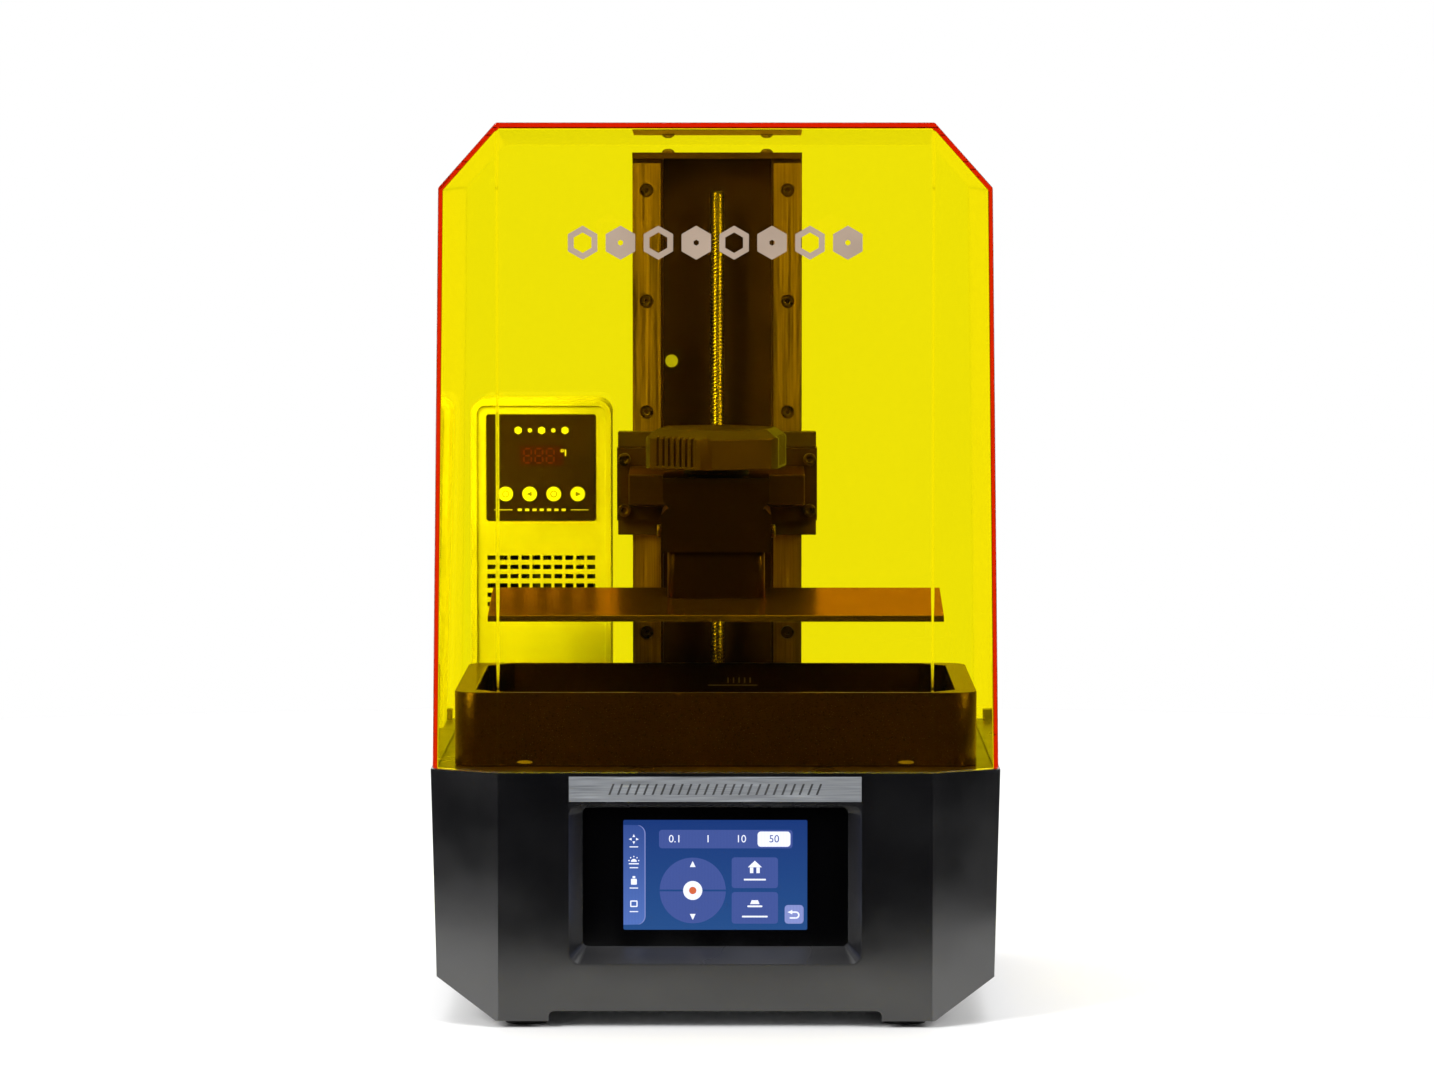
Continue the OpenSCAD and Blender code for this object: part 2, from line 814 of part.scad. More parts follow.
// Plate with an upright edge all round and a shallow roof that lets resin run off
module plate_solid(grow) sideways(-plate_w / 2 - grow, plate_w + 2 * grow)
    polygon([[depth(plate_front), plate_z], [depth(plate_front + plate_d), plate_z],
             [depth(plate_front + plate_d), plate_z + plate_edge], [depth(mid_y), plate_top],
             [depth(plate_front), plate_z + plate_edge]]);

module build_plate() color([0.45, 0.44, 0.43]) plate_solid(0);

module plate_neck() color([0.1, 0.1, 0.1]) difference() {
    translate([0, depth(mid_y), plate_z + plate_edge]) linear_extrude(clamp_z - plate_z - plate_edge)
        rounded(2 * neck_half, neck_d, 4);
    plate_solid(over);
}

module clamp_body() color([0.09, 0.09, 0.09]) difference() {
    upright(mid_y - clamp_d / 2, clamp_d)
        polygon([[-clamp_half, clamp_z], [clamp_half, clamp_z], [clamp_half, waist_z - 3],
                 [clamp_half - 3, waist_z], [clamp_waist, waist_z], [clamp_half - 0.7, waist_z + 4.4],
                 [clamp_half - 0.7, clamp_top], [0.7 - clamp_half, clamp_top],
                 [0.7 - clamp_half, waist_z + 4.4], [-clamp_waist, waist_z], [3 - clamp_half, waist_z],
                 [-clamp_half, waist_z - 3]]);
    block(tongue_half + 0.4, tongue_front - 3, mid_y + clamp_d, arm_z - 0.4, arm_z + tongue_h + 0.4);
    translate([0, depth(mid_y), arm_z + tongue_h - over]) cylinder(h = 20, r = stud_r + run_fit);
    for (x = [-1, 1])
        translate([x * (clamp_half - 4), depth(pin_y), pin_z]) rotate([0, 90, 0])
            cylinder(h = 10, r = 1.6, center = true);
}

module clamp_pins() color([0.5, 0.45, 0.4])
    for (x = [-1, 1])
        translate([x * clamp_half, depth(pin_y), pin_z]) rotate([0, x * 90, 0]) {
            cylinder(h = 2.3, r = 3.5);
            translate([0, 0, -7]) cylinder(h = 7, r = 1.5);
        }

// Six-sided knob with rounded corners, a slanted top edge and grooves on every other side
module lock_knob() color([0.1, 0.1, 0.1]) translate([0, depth(mid_y), 0]) {
    flat = knob_r * cos(30);
    shoulder = knob_top - knob_bevel;
    height = knob_top - knob_z;
    groove = [1.8, 3.4, height + over];
    difference() {
        union() {
            translate([0, 0, clamp_top + 0.3]) cylinder(h = knob_z - clamp_top, r = 17);
            translate([0, 0, knob_z]) intersection() {
                rotate([0, 0, knob_turn - 90]) cylinder(h = height, r = knob_r, $fn = 6);
                cylinder(h = height, r = knob_r - 1.6, $fn = 96);
            }
        }
        translate([0, 0, clamp_top]) cylinder(h = stud_top - clamp_top + slack, r = stud_r + 0.05);
        for (side = [0:5])
            rotate([0, 0, knob_turn - 30 + 60 * side]) translate([-knob_r, -flat, shoulder])
                rotate([atan2(knob_bevel, 6), 0, 0]) translate([0, -10, 0])
                    cube([2 * knob_r, 30, 20]);
        for (side = [0, 2, 4], i = [-3:3])
            rotate([0, 0, knob_turn - 30 + 60 * side])
                translate([i * 3.8 - groove.x / 2, -flat - 2, knob_z + 1.5]) cube(groove);
    }
}

module clamp_screw() color("silver")
    translate([0, depth(mid_y), stud_low]) cylinder(h = stud_top - stud_low, r = stud_r);

// ---- vat ----

module vat_frame() color([0.13, 0.12, 0.12]) {
    mid = depth((vat_front + vat_back) / 2);
    long = vat_back - vat_front;
    difference() {
        translate([0, mid, vat_z]) linear_extrude(vat_h) rounded(vat_w, long, vat_r);
        translate([0, 0, vat_floor_z]) linear_extrude(vat_h) pool_plan();
        block(pool_half, pool_front, pool_back, vat_z - over, vat_floor_z + over);
        translate([0, 0, vat_z - over]) linear_extrude(film_z + film_t - vat_z + over) ring_plan(0.3);
    }
}

// Inner outline of the vat, with slanted corners
module pool_plan() {
    x = vat_w / 2 - vat_ledge;
    front = depth(vat_front + vat_wall);
    back = depth(vat_back - vat_wall);
    cut = 13;
    polygon([[-x + cut, front], [x - cut, front], [x, front + cut], [x, back - cut], [x - cut, back],
             [-x + cut, back], [-x, back - cut], [-x, front + cut]]);
}

// Outline of the film and its clamp ring, grown by g
module ring_plan(g) {
    translate([0, depth((ring_front + ring_back) / 2)])
        rounded(2 * (ring_half + g), ring_back - ring_front + 2 * g, ring_r);
}

module film_clamp() color([0.6, 0.6, 0.62]) difference() {
    translate([0, 0, ring_z]) linear_extrude(film_z - ring_z) ring_plan(0);
    block(pool_half, pool_front, pool_back, ring_z - over, film_z + over);
}

module vat_film() color([0.8, 0.85, 0.9, 0.4])
    translate([0, 0, film_z]) linear_extrude(film_t) ring_plan(0);

// ---- cover ----

// Side view of the cover, moved inwards by t
module cover_side(t, z) {
    polygon([[depth(t), z], [depth(t), cover_top - t], [depth(base_d - t), cover_top - top_drop - t],
             [depth(base_d - t), z]]);
}

module cover_solid(t, z) {
    intersection() {
        translate([0, 0, z]) linear_extrude(cover_top) polygon(plan(cover_half, t));
        upright(-over, base_d + 2 * over) polygon(cover_profile(t, z));
        sideways(-base_w, 2 * base_w) cover_side(t, z);
    }
}

module cover_shell() color([1, 0.75, 0, 0.45]) difference() {
    cover_solid(0, cover_z);
    cover_solid(sheet, cover_z - over);
}

// ---- heater ----

// Front view of the heater box, moved inwards by t, with square lower corners
module heater_outline(t) {
    low = deck_z;
    h = heater_top - low;
    translate([heater_x, low + h / 2]) rounded(heater_w - 2 * t, h - 2 * t, heater_r - t);
    translate([heater_x - heater_w / 2 + t, low + t]) square([heater_w - 2 * t, h / 2]);
}

module button_places() {
    for (i = [0:3])
        translate([heater_x + (i - 1.5) * button_pitch, 0, button_z]) children();
}

module heater_case() color([0.86, 0.86, 0.85]) difference() {
    upright(heater_front, heater_split - heater_front) heater_outline(0);
    upright(heater_face + heater_wall, heater_split) heater_outline(heater_wall);
    upright(heater_front - over, over + heater_face - heater_front) heater_outline(heater_rim);
    upright(heater_face - over, over + 1.2) translate([heater_x, (panel_low + panel_high) / 2])
        rounded(2 * panel_half + slack, panel_high - panel_low + slack, 1.5);
    button_places() rod_y(0, heater_face - over, 0, button_r + 0.3, 8);
    for (i = [0:vent_columns - 1], j = [0:vent_rows - 1])
        translate([heater_x + (i - (vent_columns - 1) / 2) * vent_px - vent_w / 2,
                   depth(heater_face - over), vent_top - j * vent_pz - vent_h])
            cube([vent_w, heater_wall + 2 * over, vent_h]);
}

module heater_back() color([0.8, 0.8, 0.79]) difference() {
    upright(heater_split, heater_back_y - heater_split) heater_outline(0);
    upright(heater_split - over, heater_back_y - heater_split + over - heater_wall)
        heater_outline(heater_wall);
    for (j = [0:back_slots - 1])
        upright(heater_back_y - heater_wall - over, heater_wall + 2 * over)
            translate([heater_x, back_slot_z + 5.5 * j]) rounded(50, 3, 1.4);
}

module heater_panel() color([0.02, 0.02, 0.02]) difference() {
    upright(heater_face - 0.4, 1.5) translate([heater_x, (panel_low + panel_high) / 2])
        rounded(2 * panel_half, panel_high - panel_low, 1.4);
    button_places() rod_y(0, heater_face - 2, 0, button_r + 0.3, 8);
    upright(heater_face - 2, 2.6) translate([heater_x, figures_z]) square([24, 11], center = true);
}

module heater_display() color([0.15, 0.02, 0.02])
    upright(heater_face - 0.2, 0.7) translate([heater_x, figures_z]) square([23.8, 10.8], center = true);

module heater_button(i) color([0.85, 0.85, 0.85])
    translate([heater_x + (i - 1.5) * button_pitch, 0, button_z]) {
        rod_y(0, heater_face - 1.2, 0, button_r, 6);
        rod_y(0, heater_face + 3, 0, button_r + 1.2, 1.2);
    }

module heater_button_1() heater_button(0);
module heater_button_2() heater_button(1);
module heater_button_3() heater_button(2);
module heater_button_4() heater_button(3);

module heater_fan_frame() color([0.08, 0.08, 0.08])
    fan_frame(heater_x, blower_y, blower_z, blower_size, blower_t);

module heater_fan_rotor() color([0.12, 0.12, 0.12])
    fan_rotor(heater_x, blower_y, blower_z, blower_size, blower_t);

base_shell();
bottom_plate();
deck_plate();
screen_bezel();
touch_glass();
display_panel();
trim_plate();
rubber_feet();
foot_screws();
mask_lcd();
light_housing();
collimating_lens();
uv_led_array();
led_heatsink();
mainboard();
power_inlet();
cooling_fan_frame();
cooling_fan_rotor();
fan_grille();
switch_housing();
power_rocker();
usb_port();
cover_stops();
column();
column_cap();
cap_screws();
linear_rails();
rail_screws();
screw_bearing();
z_motor();
motor_bracket();
motor_coupler();
lead_screw();
limit_sensor();
slider_blocks();
block_end_caps();
carriage_plate();
support_arm();
lead_nut();
carriage_screws();
build_plate();
plate_neck();
clamp_body();
clamp_pins();
lock_knob();
clamp_screw();
vat_frame();
vat_film();
film_clamp();
cover_shell();
heater_case();
heater_back();
heater_panel();
heater_display();
heater_button_1();
heater_button_2();
heater_button_3();
heater_button_4();
heater_fan_frame();
heater_fan_rotor();
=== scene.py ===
"""Desktop resin printer: finishes, fine detail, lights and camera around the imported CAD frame.

Outlines are in millimetres in the CAD frame (X right, Y back, Z up). They are scaled to metres when a
piece is made.
"""
import math

import bmesh
import bpy
from mathutils import Matrix, Vector


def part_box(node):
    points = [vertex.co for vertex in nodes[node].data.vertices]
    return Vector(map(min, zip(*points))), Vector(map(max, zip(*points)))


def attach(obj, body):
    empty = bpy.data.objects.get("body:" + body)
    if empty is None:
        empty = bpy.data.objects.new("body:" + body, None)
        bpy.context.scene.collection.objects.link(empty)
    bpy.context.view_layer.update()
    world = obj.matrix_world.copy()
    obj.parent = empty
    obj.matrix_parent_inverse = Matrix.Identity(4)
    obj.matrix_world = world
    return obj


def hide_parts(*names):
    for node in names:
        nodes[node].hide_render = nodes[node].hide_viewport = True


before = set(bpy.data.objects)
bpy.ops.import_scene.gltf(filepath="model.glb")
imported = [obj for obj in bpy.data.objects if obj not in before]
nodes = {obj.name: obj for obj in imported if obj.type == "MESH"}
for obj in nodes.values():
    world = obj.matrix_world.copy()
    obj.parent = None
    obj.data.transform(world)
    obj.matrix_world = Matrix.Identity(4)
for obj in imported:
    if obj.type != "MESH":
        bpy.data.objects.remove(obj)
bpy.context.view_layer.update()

MM = 0.001


def box_mm(node):
    """Lowest and highest corner of a CAD node, in millimetres."""
    low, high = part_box(node)
    return low / MM, high / MM


# ---------------------------------------------------------------- camera

# Lens in millimetres, place in metres, turns in degrees
FOCAL = 135.97
SENSOR = 36.0
CAMERA_PLACE = (0.0142, -2.8747, 0.4458)
CAMERA_PITCH = 4.086
CAMERA_YAW = 0.278


def make_camera():
    data = bpy.data.cameras.new("camera")
    data.lens = FOCAL
    data.sensor_width = SENSOR
    camera = bpy.data.objects.new("camera", data)
    camera.location = CAMERA_PLACE
    camera.rotation_euler = (math.radians(90 - CAMERA_PITCH), 0, math.radians(CAMERA_YAW))
    bpy.context.scene.collection.objects.link(camera)
    bpy.context.scene.camera = camera


# ---------------------------------------------------------------- materials

class Surface:
    """A material with one Principled shader and short calls for the nodes that feed it."""

    def __init__(self, name, colour, rough, metal=0.0):
        self.material = bpy.data.materials.new(name)
        self.material.use_nodes = True
        self.tree = self.material.node_tree
        self.shader = self.tree.nodes["Principled BSDF"]
        self.output = self.tree.nodes["Material Output"]
        self.place = self.new("TexCoord").outputs["Object"]
        self.set("Base Color", (*colour, 1))
        self.set("Roughness", rough)
        self.set("Metallic", metal)

    def new(self, kind):
        return self.tree.nodes.new("ShaderNode" + kind)

    def set(self, socket, value):
        self.shader.inputs[socket].default_value = value

    def link(self, source, target):
        self.tree.links.new(source, target)

    def feed(self, source, socket):
        self.link(source, self.shader.inputs[socket])

    def stretched(self, scale):
        """Object coordinates scaled along each axis."""
        mapping = self.new("Mapping")
        mapping.inputs["Scale"].default_value = scale
        self.link(self.place, mapping.inputs["Vector"])
        return mapping.outputs["Vector"]

    def noise(self, scale, detail=2.0, stretch=None):
        """Cloudy pattern from 0 to 1 with features of about 1/scale metres."""
        node = self.new("TexNoise")
        node.inputs["Scale"].default_value = scale
        node.inputs["Detail"].default_value = detail
        self.link(self.stretched(stretch) if stretch else self.place, node.inputs["Vector"])
        return node.outputs["Fac"]

    def cells(self, scale):
        """Small rounded cells, as on a moulded grain."""
        node = self.new("TexVoronoi")
        node.feature = "SMOOTH_F1"
        node.inputs["Scale"].default_value = scale
        self.link(self.place, node.inputs["Vector"])
        return node.outputs["Distance"]

    def span(self, value, low, high, start=0.3, stop=0.7):
        """Maps start..stop of a pattern to low..high."""
        node = self.new("MapRange")
        node.inputs["From Min"].default_value = start
        node.inputs["From Max"].default_value = stop
        node.inputs["To Min"].default_value = low
        node.inputs["To Max"].default_value = high
        self.link(value, node.inputs["Value"])
        return node.outputs["Result"]

    def mix(self, factor, first, second):
        """Colour between first and second."""
        node = self.new("Mix")
        node.data_type = "RGBA"
        self.link(factor, node.inputs["Factor"])
        for colour, socket in ((first, node.inputs["A"]), (second, node.inputs["B"])):
            if isinstance(colour, tuple):
                socket.default_value = (*colour, 1)
            else:
                self.link(colour, socket)
        return node.outputs["Result"]

    def relief(self, height, depth, strength=1.0):
        """Bump of the given depth in metres."""
        node = self.new("Bump")
        node.inputs["Strength"].default_value = strength
        node.inputs["Distance"].default_value = depth
        self.link(height, node.inputs["Height"])
        self.feed(node.outputs["Normal"], "Normal")

    def vary_rough(self, pattern, low, high):
        self.feed(self.span(pattern, low, high), "Roughness")

    def vary_colour(self, pattern, first, second):
        self.feed(self.mix(self.span(pattern, 0, 1), first, second), "Base Color")


# Painted amber tint on the reflections of the dark pieces inside the amber cover, standing in for the amber
# light that reaches them; it is no colour of the pieces themselves
AMBER_LIGHT_TINT = (1.0, 0.52, 0.34)

# Patches of tone and gloss: how many to a metre, and how far they change
PLASTIC_PATCHES = 22
PLASTIC_TONE = (0.88, 1.12)
PLASTIC_GLOSS = 0.05
METAL_PATCHES = 30
METAL_TONE = (0.85, 1.15)
METAL_TOOTH = 2400
METAL_GLOSS = (0.02, 0.03)
STREAK_TONE = (0.72, 1.2)
STREAK_GLOSS = (0.08, 0.1)
SMEAR_GLOSS = 0.07


def tones(colour, shares):
    """The darker and the lighter tone of a colour."""
    return [tuple(channel * share for channel in colour) for share in shares]


def plastic(name, colour, rough, grain=1600, depth=0.000006, tint=None, shine=0.5):
    """Moulded plastic: fine grain, a slow change of gloss and a faint change of tone."""
    s = Surface(name, colour, rough)
    slow = s.noise(PLASTIC_PATCHES, 3)
    s.vary_colour(slow, *tones(colour, PLASTIC_TONE))
    s.vary_rough(slow, rough - PLASTIC_GLOSS, rough + PLASTIC_GLOSS)
    s.relief(s.cells(grain), depth)
    s.set("Specular IOR Level", shine)
    if tint:
        s.set("Specular Tint", (*tint, 1))
    return s.material


def anodised(name, colour, rough, metal=0.75, grain=3500, depth=0.0000012):
    """Blasted and anodised aluminium: metallic with a very fine tooth."""
    s = Surface(name, colour, rough, metal)
    slow = s.noise(METAL_PATCHES, 3)
    s.vary_colour(slow, *tones(colour, METAL_TONE))
    s.vary_rough(s.noise(METAL_TOOTH, 2), rough - METAL_GLOSS[0], rough + METAL_GLOSS[1])
    s.relief(s.noise(grain, 2), depth)
    # Painted amber tint on the reflections, for the light inside the amber cover
    s.set("Specular Tint", (*AMBER_LIGHT_TINT, 1))
    return s.material


def steel(name, colour, rough, stretch, scale=40, depth=0.000006, metal=1.0):
    """Ground metal with streaks: stretch gives how fine they are along each axis."""
    s = Surface(name, colour, rough, metal)
    streaks = s.noise(scale, 4, stretch)
    s.vary_colour(streaks, *tones(colour, STREAK_TONE))
    s.vary_rough(streaks, rough - STREAK_GLOSS[0], rough + STREAK_GLOSS[1])
    s.relief(streaks, depth)
    return s.material


def gloss(name, colour, rough=0.05):
    """Polished black glass or lacquer with faint smears."""
    s = Surface(name, colour, rough)
    smear = s.noise(35, 4, (1, 1, 0.4))
    s.vary_rough(smear, rough, rough + SMEAR_GLOSS)
    return s.material


UNLIT = (0.004, 0.004, 0.006)
LCD_COLUMNS = 420
LCD_COLUMN_COLOUR = (0.02, 0.05, 0.14)
LCD_COLUMN_SHARE = 0.22


def glowing(name, colour, strength, second=None, low=0.0, high=0.1):
    """Lit area behind glass with faint pixel columns. It fades from colour to second between two heights."""
    s = Surface(name, UNLIT, 0.12)
    axes = s.new("SeparateXYZ")
    s.link(s.place, axes.inputs["Vector"])
    lit = s.mix(s.span(axes.outputs["Z"], 0, 1, low, high), colour, second or colour)
    columns = s.new("TexWave")
    columns.bands_direction = "X"
    columns.inputs["Scale"].default_value = LCD_COLUMNS
    s.link(s.place, columns.inputs["Vector"])
    faint = s.span(columns.outputs["Fac"], 0, LCD_COLUMN_SHARE, 0, 1)
    s.feed(s.mix(faint, lit, LCD_COLUMN_COLOUR), "Emission Color")
    s.set("Emission Strength", strength)
    return s.material


AMBER_SURFACE = (1, 0.978, 0.9)
AMBER_IOR = 1.49
# Light taken off by the amber sheet, per metre, in red, green and blue
AMBER_TAKES = (1.5, 16.0, 960.0)
# Largest share of the volume's density that one channel takes
AMBER_TOP_SHARE = 0.97


def amber():
    """Clear amber acrylic: its colour deepens with the length of the light's way. Shadows pass through."""
    s = Surface("amber_acrylic", AMBER_SURFACE, 0.015)
    s.set("IOR", AMBER_IOR)
    s.set("Transmission Weight", 1)
    s.relief(s.noise(9, 1), 0.00001, 0.5)
    clear = s.new("BsdfTransparent")
    path = s.new("LightPath")
    either = s.new("MixShader")
    s.link(path.outputs["Is Shadow Ray"], either.inputs["Fac"])
    s.link(s.shader.outputs["BSDF"], either.inputs[1])
    s.link(clear.outputs["BSDF"], either.inputs[2])
    s.link(either.outputs["Shader"], s.output.inputs["Surface"])
    inside = s.new("VolumeAbsorption")
    density = max(AMBER_TAKES) / AMBER_TOP_SHARE
    inside.inputs["Density"].default_value = density
    inside.inputs["Color"].default_value = (*[1 - take / density for take in AMBER_TAKES], 1)
    s.link(inside.outputs["Volume"], s.output.inputs["Volume"])
    return s.material


CLEAR = (1, 1, 1)
SHEET_IOR = 1.35


def clear_sheet(name, rough):
    """Clear film or lens."""
    s = Surface(name, CLEAR, rough)
    s.set("IOR", SHEET_IOR)
    s.set("Transmission Weight", 1)
    s.relief(s.noise(25, 2), 0.00008, 0.4)
    return s.material


BLACK = (0.008, 0.008, 0.009)
# Black with a painted amber cast: the brown stands in for the amber light on dark pieces inside the cover
AMBER_LIT_BLACK = (0.012, 0.007, 0.005)
# How fine the streaks are along each axis
ALONG_X = (0.6, 30, 30)
ALONG_Y = (30, 0.6, 30)
ALONG_Z = (30, 30, 0.6)
ALONG_RING = (1, 30, 30)
ALONG_PORT = (10, 1, 10)
EVEN = (6, 6, 6)
EVEN_FINE = (8, 8, 8)

make = {
    "base_black": plastic("base_plastic", (0.0020, 0.0020, 0.0025), 0.20, 1900, 0.000003, shine=1.0),
    "bezel_grey": plastic("bezel_plastic", (0.004, 0.004, 0.005), 0.26, 1900, 0.000003, shine=0.9),
    # Painted amber cast in the deck's colour, for the light through the amber cover
    "deck_black": plastic("deck_paint", (0.014, 0.006, 0.0035), 0.30, 1200, 0.000004, tint=AMBER_LIGHT_TINT),
    "floor_steel": steel("zinc_sheet", (0.42, 0.43, 0.44), 0.42, EVEN, metal=0.9),
    "foot_rubber": plastic("foot_rubber", (0.012, 0.012, 0.012), 0.8, 2600, 0.00004),
    # Painted amber cast in the screws' colour, for the light through the amber cover
    "screw_steel": steel("screw_steel", (0.11, 0.06, 0.035), 0.30, EVEN_FINE),
    "screen_glass": gloss("touch_glass", (0.0006, 0.0006, 0.0008)),
    "trim_brushed": steel("brushed_trim", (0.36, 0.38, 0.41), 0.42, ALONG_X, scale=60, depth=0.000008,
                          metal=0.75),
    "mask_glass": gloss("mask_glass", (0.006, 0.006, 0.010)),
    "engine_black": plastic("inner_plastic", BLACK, 0.5),
    "lens_clear": clear_sheet("lens_acrylic", 0.02),
    "board_green": plastic("circuit_board", (0.02, 0.13, 0.06), 0.35, 500, 0.00005),
    "heatsink_alloy": steel("extruded_alloy", (0.62, 0.63, 0.64), 0.35, ALONG_Y),
    "fan_black": plastic("fan_plastic", (0.014, 0.014, 0.015), 0.35),
    "grille_black": plastic("grille_paint", (0.012, 0.012, 0.012), 0.3, 1200, 0.00002),
    "rocker_black": plastic("rocker_plastic", (0.010, 0.010, 0.011), 0.22),
    "port_steel": steel("port_steel", (0.60, 0.60, 0.61), 0.28, ALONG_PORT),
    # Painted amber cast in the colours of the column and the rails, for the light through the amber cover
    "column_black": anodised("column_anodised", (0.045, 0.021, 0.012), 0.42),
    "rail_steel": steel("rail_steel", (0.24, 0.13, 0.075), 0.40, ALONG_Z),
    "motor_black": plastic("motor_paint", (0.02, 0.02, 0.021), 0.4),
    "bearing_steel": steel("bearing_steel", (0.35, 0.33, 0.31), 0.3, EVEN),
    # Painted amber cast in the lead screw's colour, for the light through the amber cover
    "leadscrew_steel": steel("leadscrew_steel", (0.50, 0.38, 0.27), 0.25, ALONG_Z),
    "nut_brass": steel("nut_brass", (0.62, 0.42, 0.16), 0.3, EVEN),
    # Painted amber cast in the colours of the end caps, carriage, plate, clamp, knob and vat, for the light
    # through the amber cover
    "end_cap_black": plastic("end_cap_plastic", AMBER_LIT_BLACK, 0.42, tint=AMBER_LIGHT_TINT),
    "carriage_black": anodised("carriage_anodised", (0.032, 0.014, 0.008), 0.38),
    "plate_alloy": anodised("plate_alloy", (0.22, 0.12, 0.08), 0.22, 0.97, depth=0.0000004),
    "clamp_black": anodised("clamp_anodised", (0.0080, 0.0028, 0.0018), 0.34),
    "knob_black": plastic("knob_plastic", (0.0095, 0.0030, 0.0016), 0.50, 1100, 0.00001,
                          tint=AMBER_LIGHT_TINT, shine=0.27),
    "vat_black": anodised("vat_anodised", (0.0095, 0.0034, 0.0022), 0.28, 0.4),
    "ring_steel": steel("ring_steel", (0.50, 0.50, 0.51), 0.3, ALONG_RING),
    "film_clear": clear_sheet("release_film", 0.04),
    "cover_amber": amber(),
    "heater_grey": plastic("heater_plastic", (0.43, 0.43, 0.36), 0.5, 1300, 0.00001),
    # Painted amber cast in the heater panel's colour, for the light through the amber cover
    "panel_black": gloss("panel_lacquer", (0.020, 0.010, 0.007), 0.12),
    "button_white": plastic("button_plastic", (0.78, 0.78, 0.74), 0.35),
    "screen_lit": glowing("lcd_back", (0.05, 0.25, 0.6), 0.6),
    "display_red": gloss("display_window", (0.03, 0.006, 0.004), 0.1),
}


def dress_nodes():
    """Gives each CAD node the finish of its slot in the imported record."""
    for node in nodes.values():
        for slot in node.material_slots:
            slot.material = make[slot.material.name.split(".")[0]]


# ---------------------------------------------------------------- edges of the CAD nodes

# Radius of each node's rounded edges, in millimetres
EDGES = {
    "cover_shell": 0.7, "base_shell": 0.8, "trim_plate": 0.2, "vat_frame": 0.5, "build_plate": 0.3,
    "plate_neck": 0.4, "clamp_body": 0.5, "lock_knob": 0.5, "support_arm": 0.6, "carriage_plate": 0.5,
    "slider_blocks": 0.4, "block_end_caps": 0.6, "linear_rails": 0.35, "column": 0.4, "column_cap": 0.4,
    "heater_case": 0.8, "heater_panel": 0.3, "carriage_screws": 0.35, "rail_screws": 0.3, "clamp_pins": 0.4,
}
# Welding distance in metres, angles in degrees
WELD_GAP = 0.000002
FLAT_ANGLE = 0.4
EDGE_ANGLE = 30
EDGE_SEGMENTS = 2


def soften(name, width):
    """Rounds a CAD node's sharp edges with modifiers, once its triangles are joined into flat faces."""
    node = nodes[name]
    weld = node.modifiers.new("weld", "WELD")
    weld.merge_threshold = WELD_GAP
    join = node.modifiers.new("join", "DECIMATE")
    join.decimate_type = "DISSOLVE"
    join.angle_limit = math.radians(FLAT_ANGLE)
    bevel = node.modifiers.new("round", "BEVEL")
    bevel.width = width * MM
    bevel.segments = EDGE_SEGMENTS
    bevel.limit_method = "ANGLE"
    bevel.angle_limit = math.radians(EDGE_ANGLE)
    bevel.harden_normals = True
    bevel.use_clamp_overlap = True


# ---------------------------------------------------------------- outlines and pieces

def arc(x, z, r, start, stop, steps):
    """Points on an arc in X and Z, from start to stop degrees."""
    turns = [math.radians(start + (stop - start) * i / steps) for i in range(steps + 1)]
    return [(x + r * math.cos(a), z + r * math.sin(a)) for a in turns]


def disc(x, z, r, steps=40):
    return arc(x, z, r, 0, 360, steps)[:-1]


def rounded(x0, z0, x1, z1, r, steps=5):
    """Rectangle with round corners."""
    return (arc(x1 - r, z1 - r, r, 0, 90, steps) + arc(x0 + r, z1 - r, r, 90, 180, steps)
            + arc(x0 + r, z0 + r, r, 180, 270, steps) + arc(x1 - r, z0 + r, r, 270, 360, steps))


def slab(bm, outline, y, depth, hole=None):
    """Thin closed solid between y and y + depth. A hole has as many points as the outline."""
    loops = [outline] if hole is None else [outline, hole]
    front = [[bm.verts.new((x, y, z)) for x, z in loop] for loop in loops]
    back = [[bm.verts.new((x, y + depth, z)) for x, z in loop] for loop in loops]
    count = len(outline)
    if hole is None:
        bm.faces.new(front[0])
        bm.faces.new(back[0])
    for i in range(count):
        j = (i + 1) % count
        for near, far in zip(front, back):
            bm.faces.new((near[i], near[j], far[j], far[i]))
        if hole is not None:
            for side in (front, back):
                bm.faces.new((side[0][i], side[0][j], side[1][j], side[1][i]))


def piece(name, bm, material, body, smooth=None):
    """Makes a bmesh in millimetres into an object in metres that rides on a body."""
    bmesh.ops.recalc_face_normals(bm, faces=bm.faces)
    bmesh.ops.scale(bm, vec=(MM, MM, MM), verts=bm.verts)
    mesh = bpy.data.meshes.new(name)
    bm.to_mesh(mesh)
    bm.free()
    mesh.materials.append(material)
    made = bpy.data.objects.new(name, mesh)
    bpy.context.scene.collection.objects.link(made)
    if smooth is not None:
        mesh.shade_smooth()
        mesh.set_sharp_from_angle(angle=math.radians(smooth))
    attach(made, body)
    return made


def marks(name, outlines, y, depth, material, body):
    """One piece made of thin solids. Each outline is a list of points, or an outline with its hole."""
    bm = bmesh.new()
    for outline in outlines:
        if isinstance(outline, tuple):
            slab(bm, outline[0], y, depth, outline[1])
        else:
            slab(bm, outline, y, depth)
    return piece(name, bm, material, body)


# ---------------------------------------------------------------- lead screw

THREAD_PITCH = 2.0
THREAD_STARTS = 4
THREAD_DEPTH = 0.75
THREAD_SIDES = 28
THREAD_STEP = 0.2
THREAD_CREST = 1.9
THREAD_FLANK = 5.0
ROD_SLACK = 0.05
ROD_CHAMFER = 1.2
JOURNAL_OVER = 2


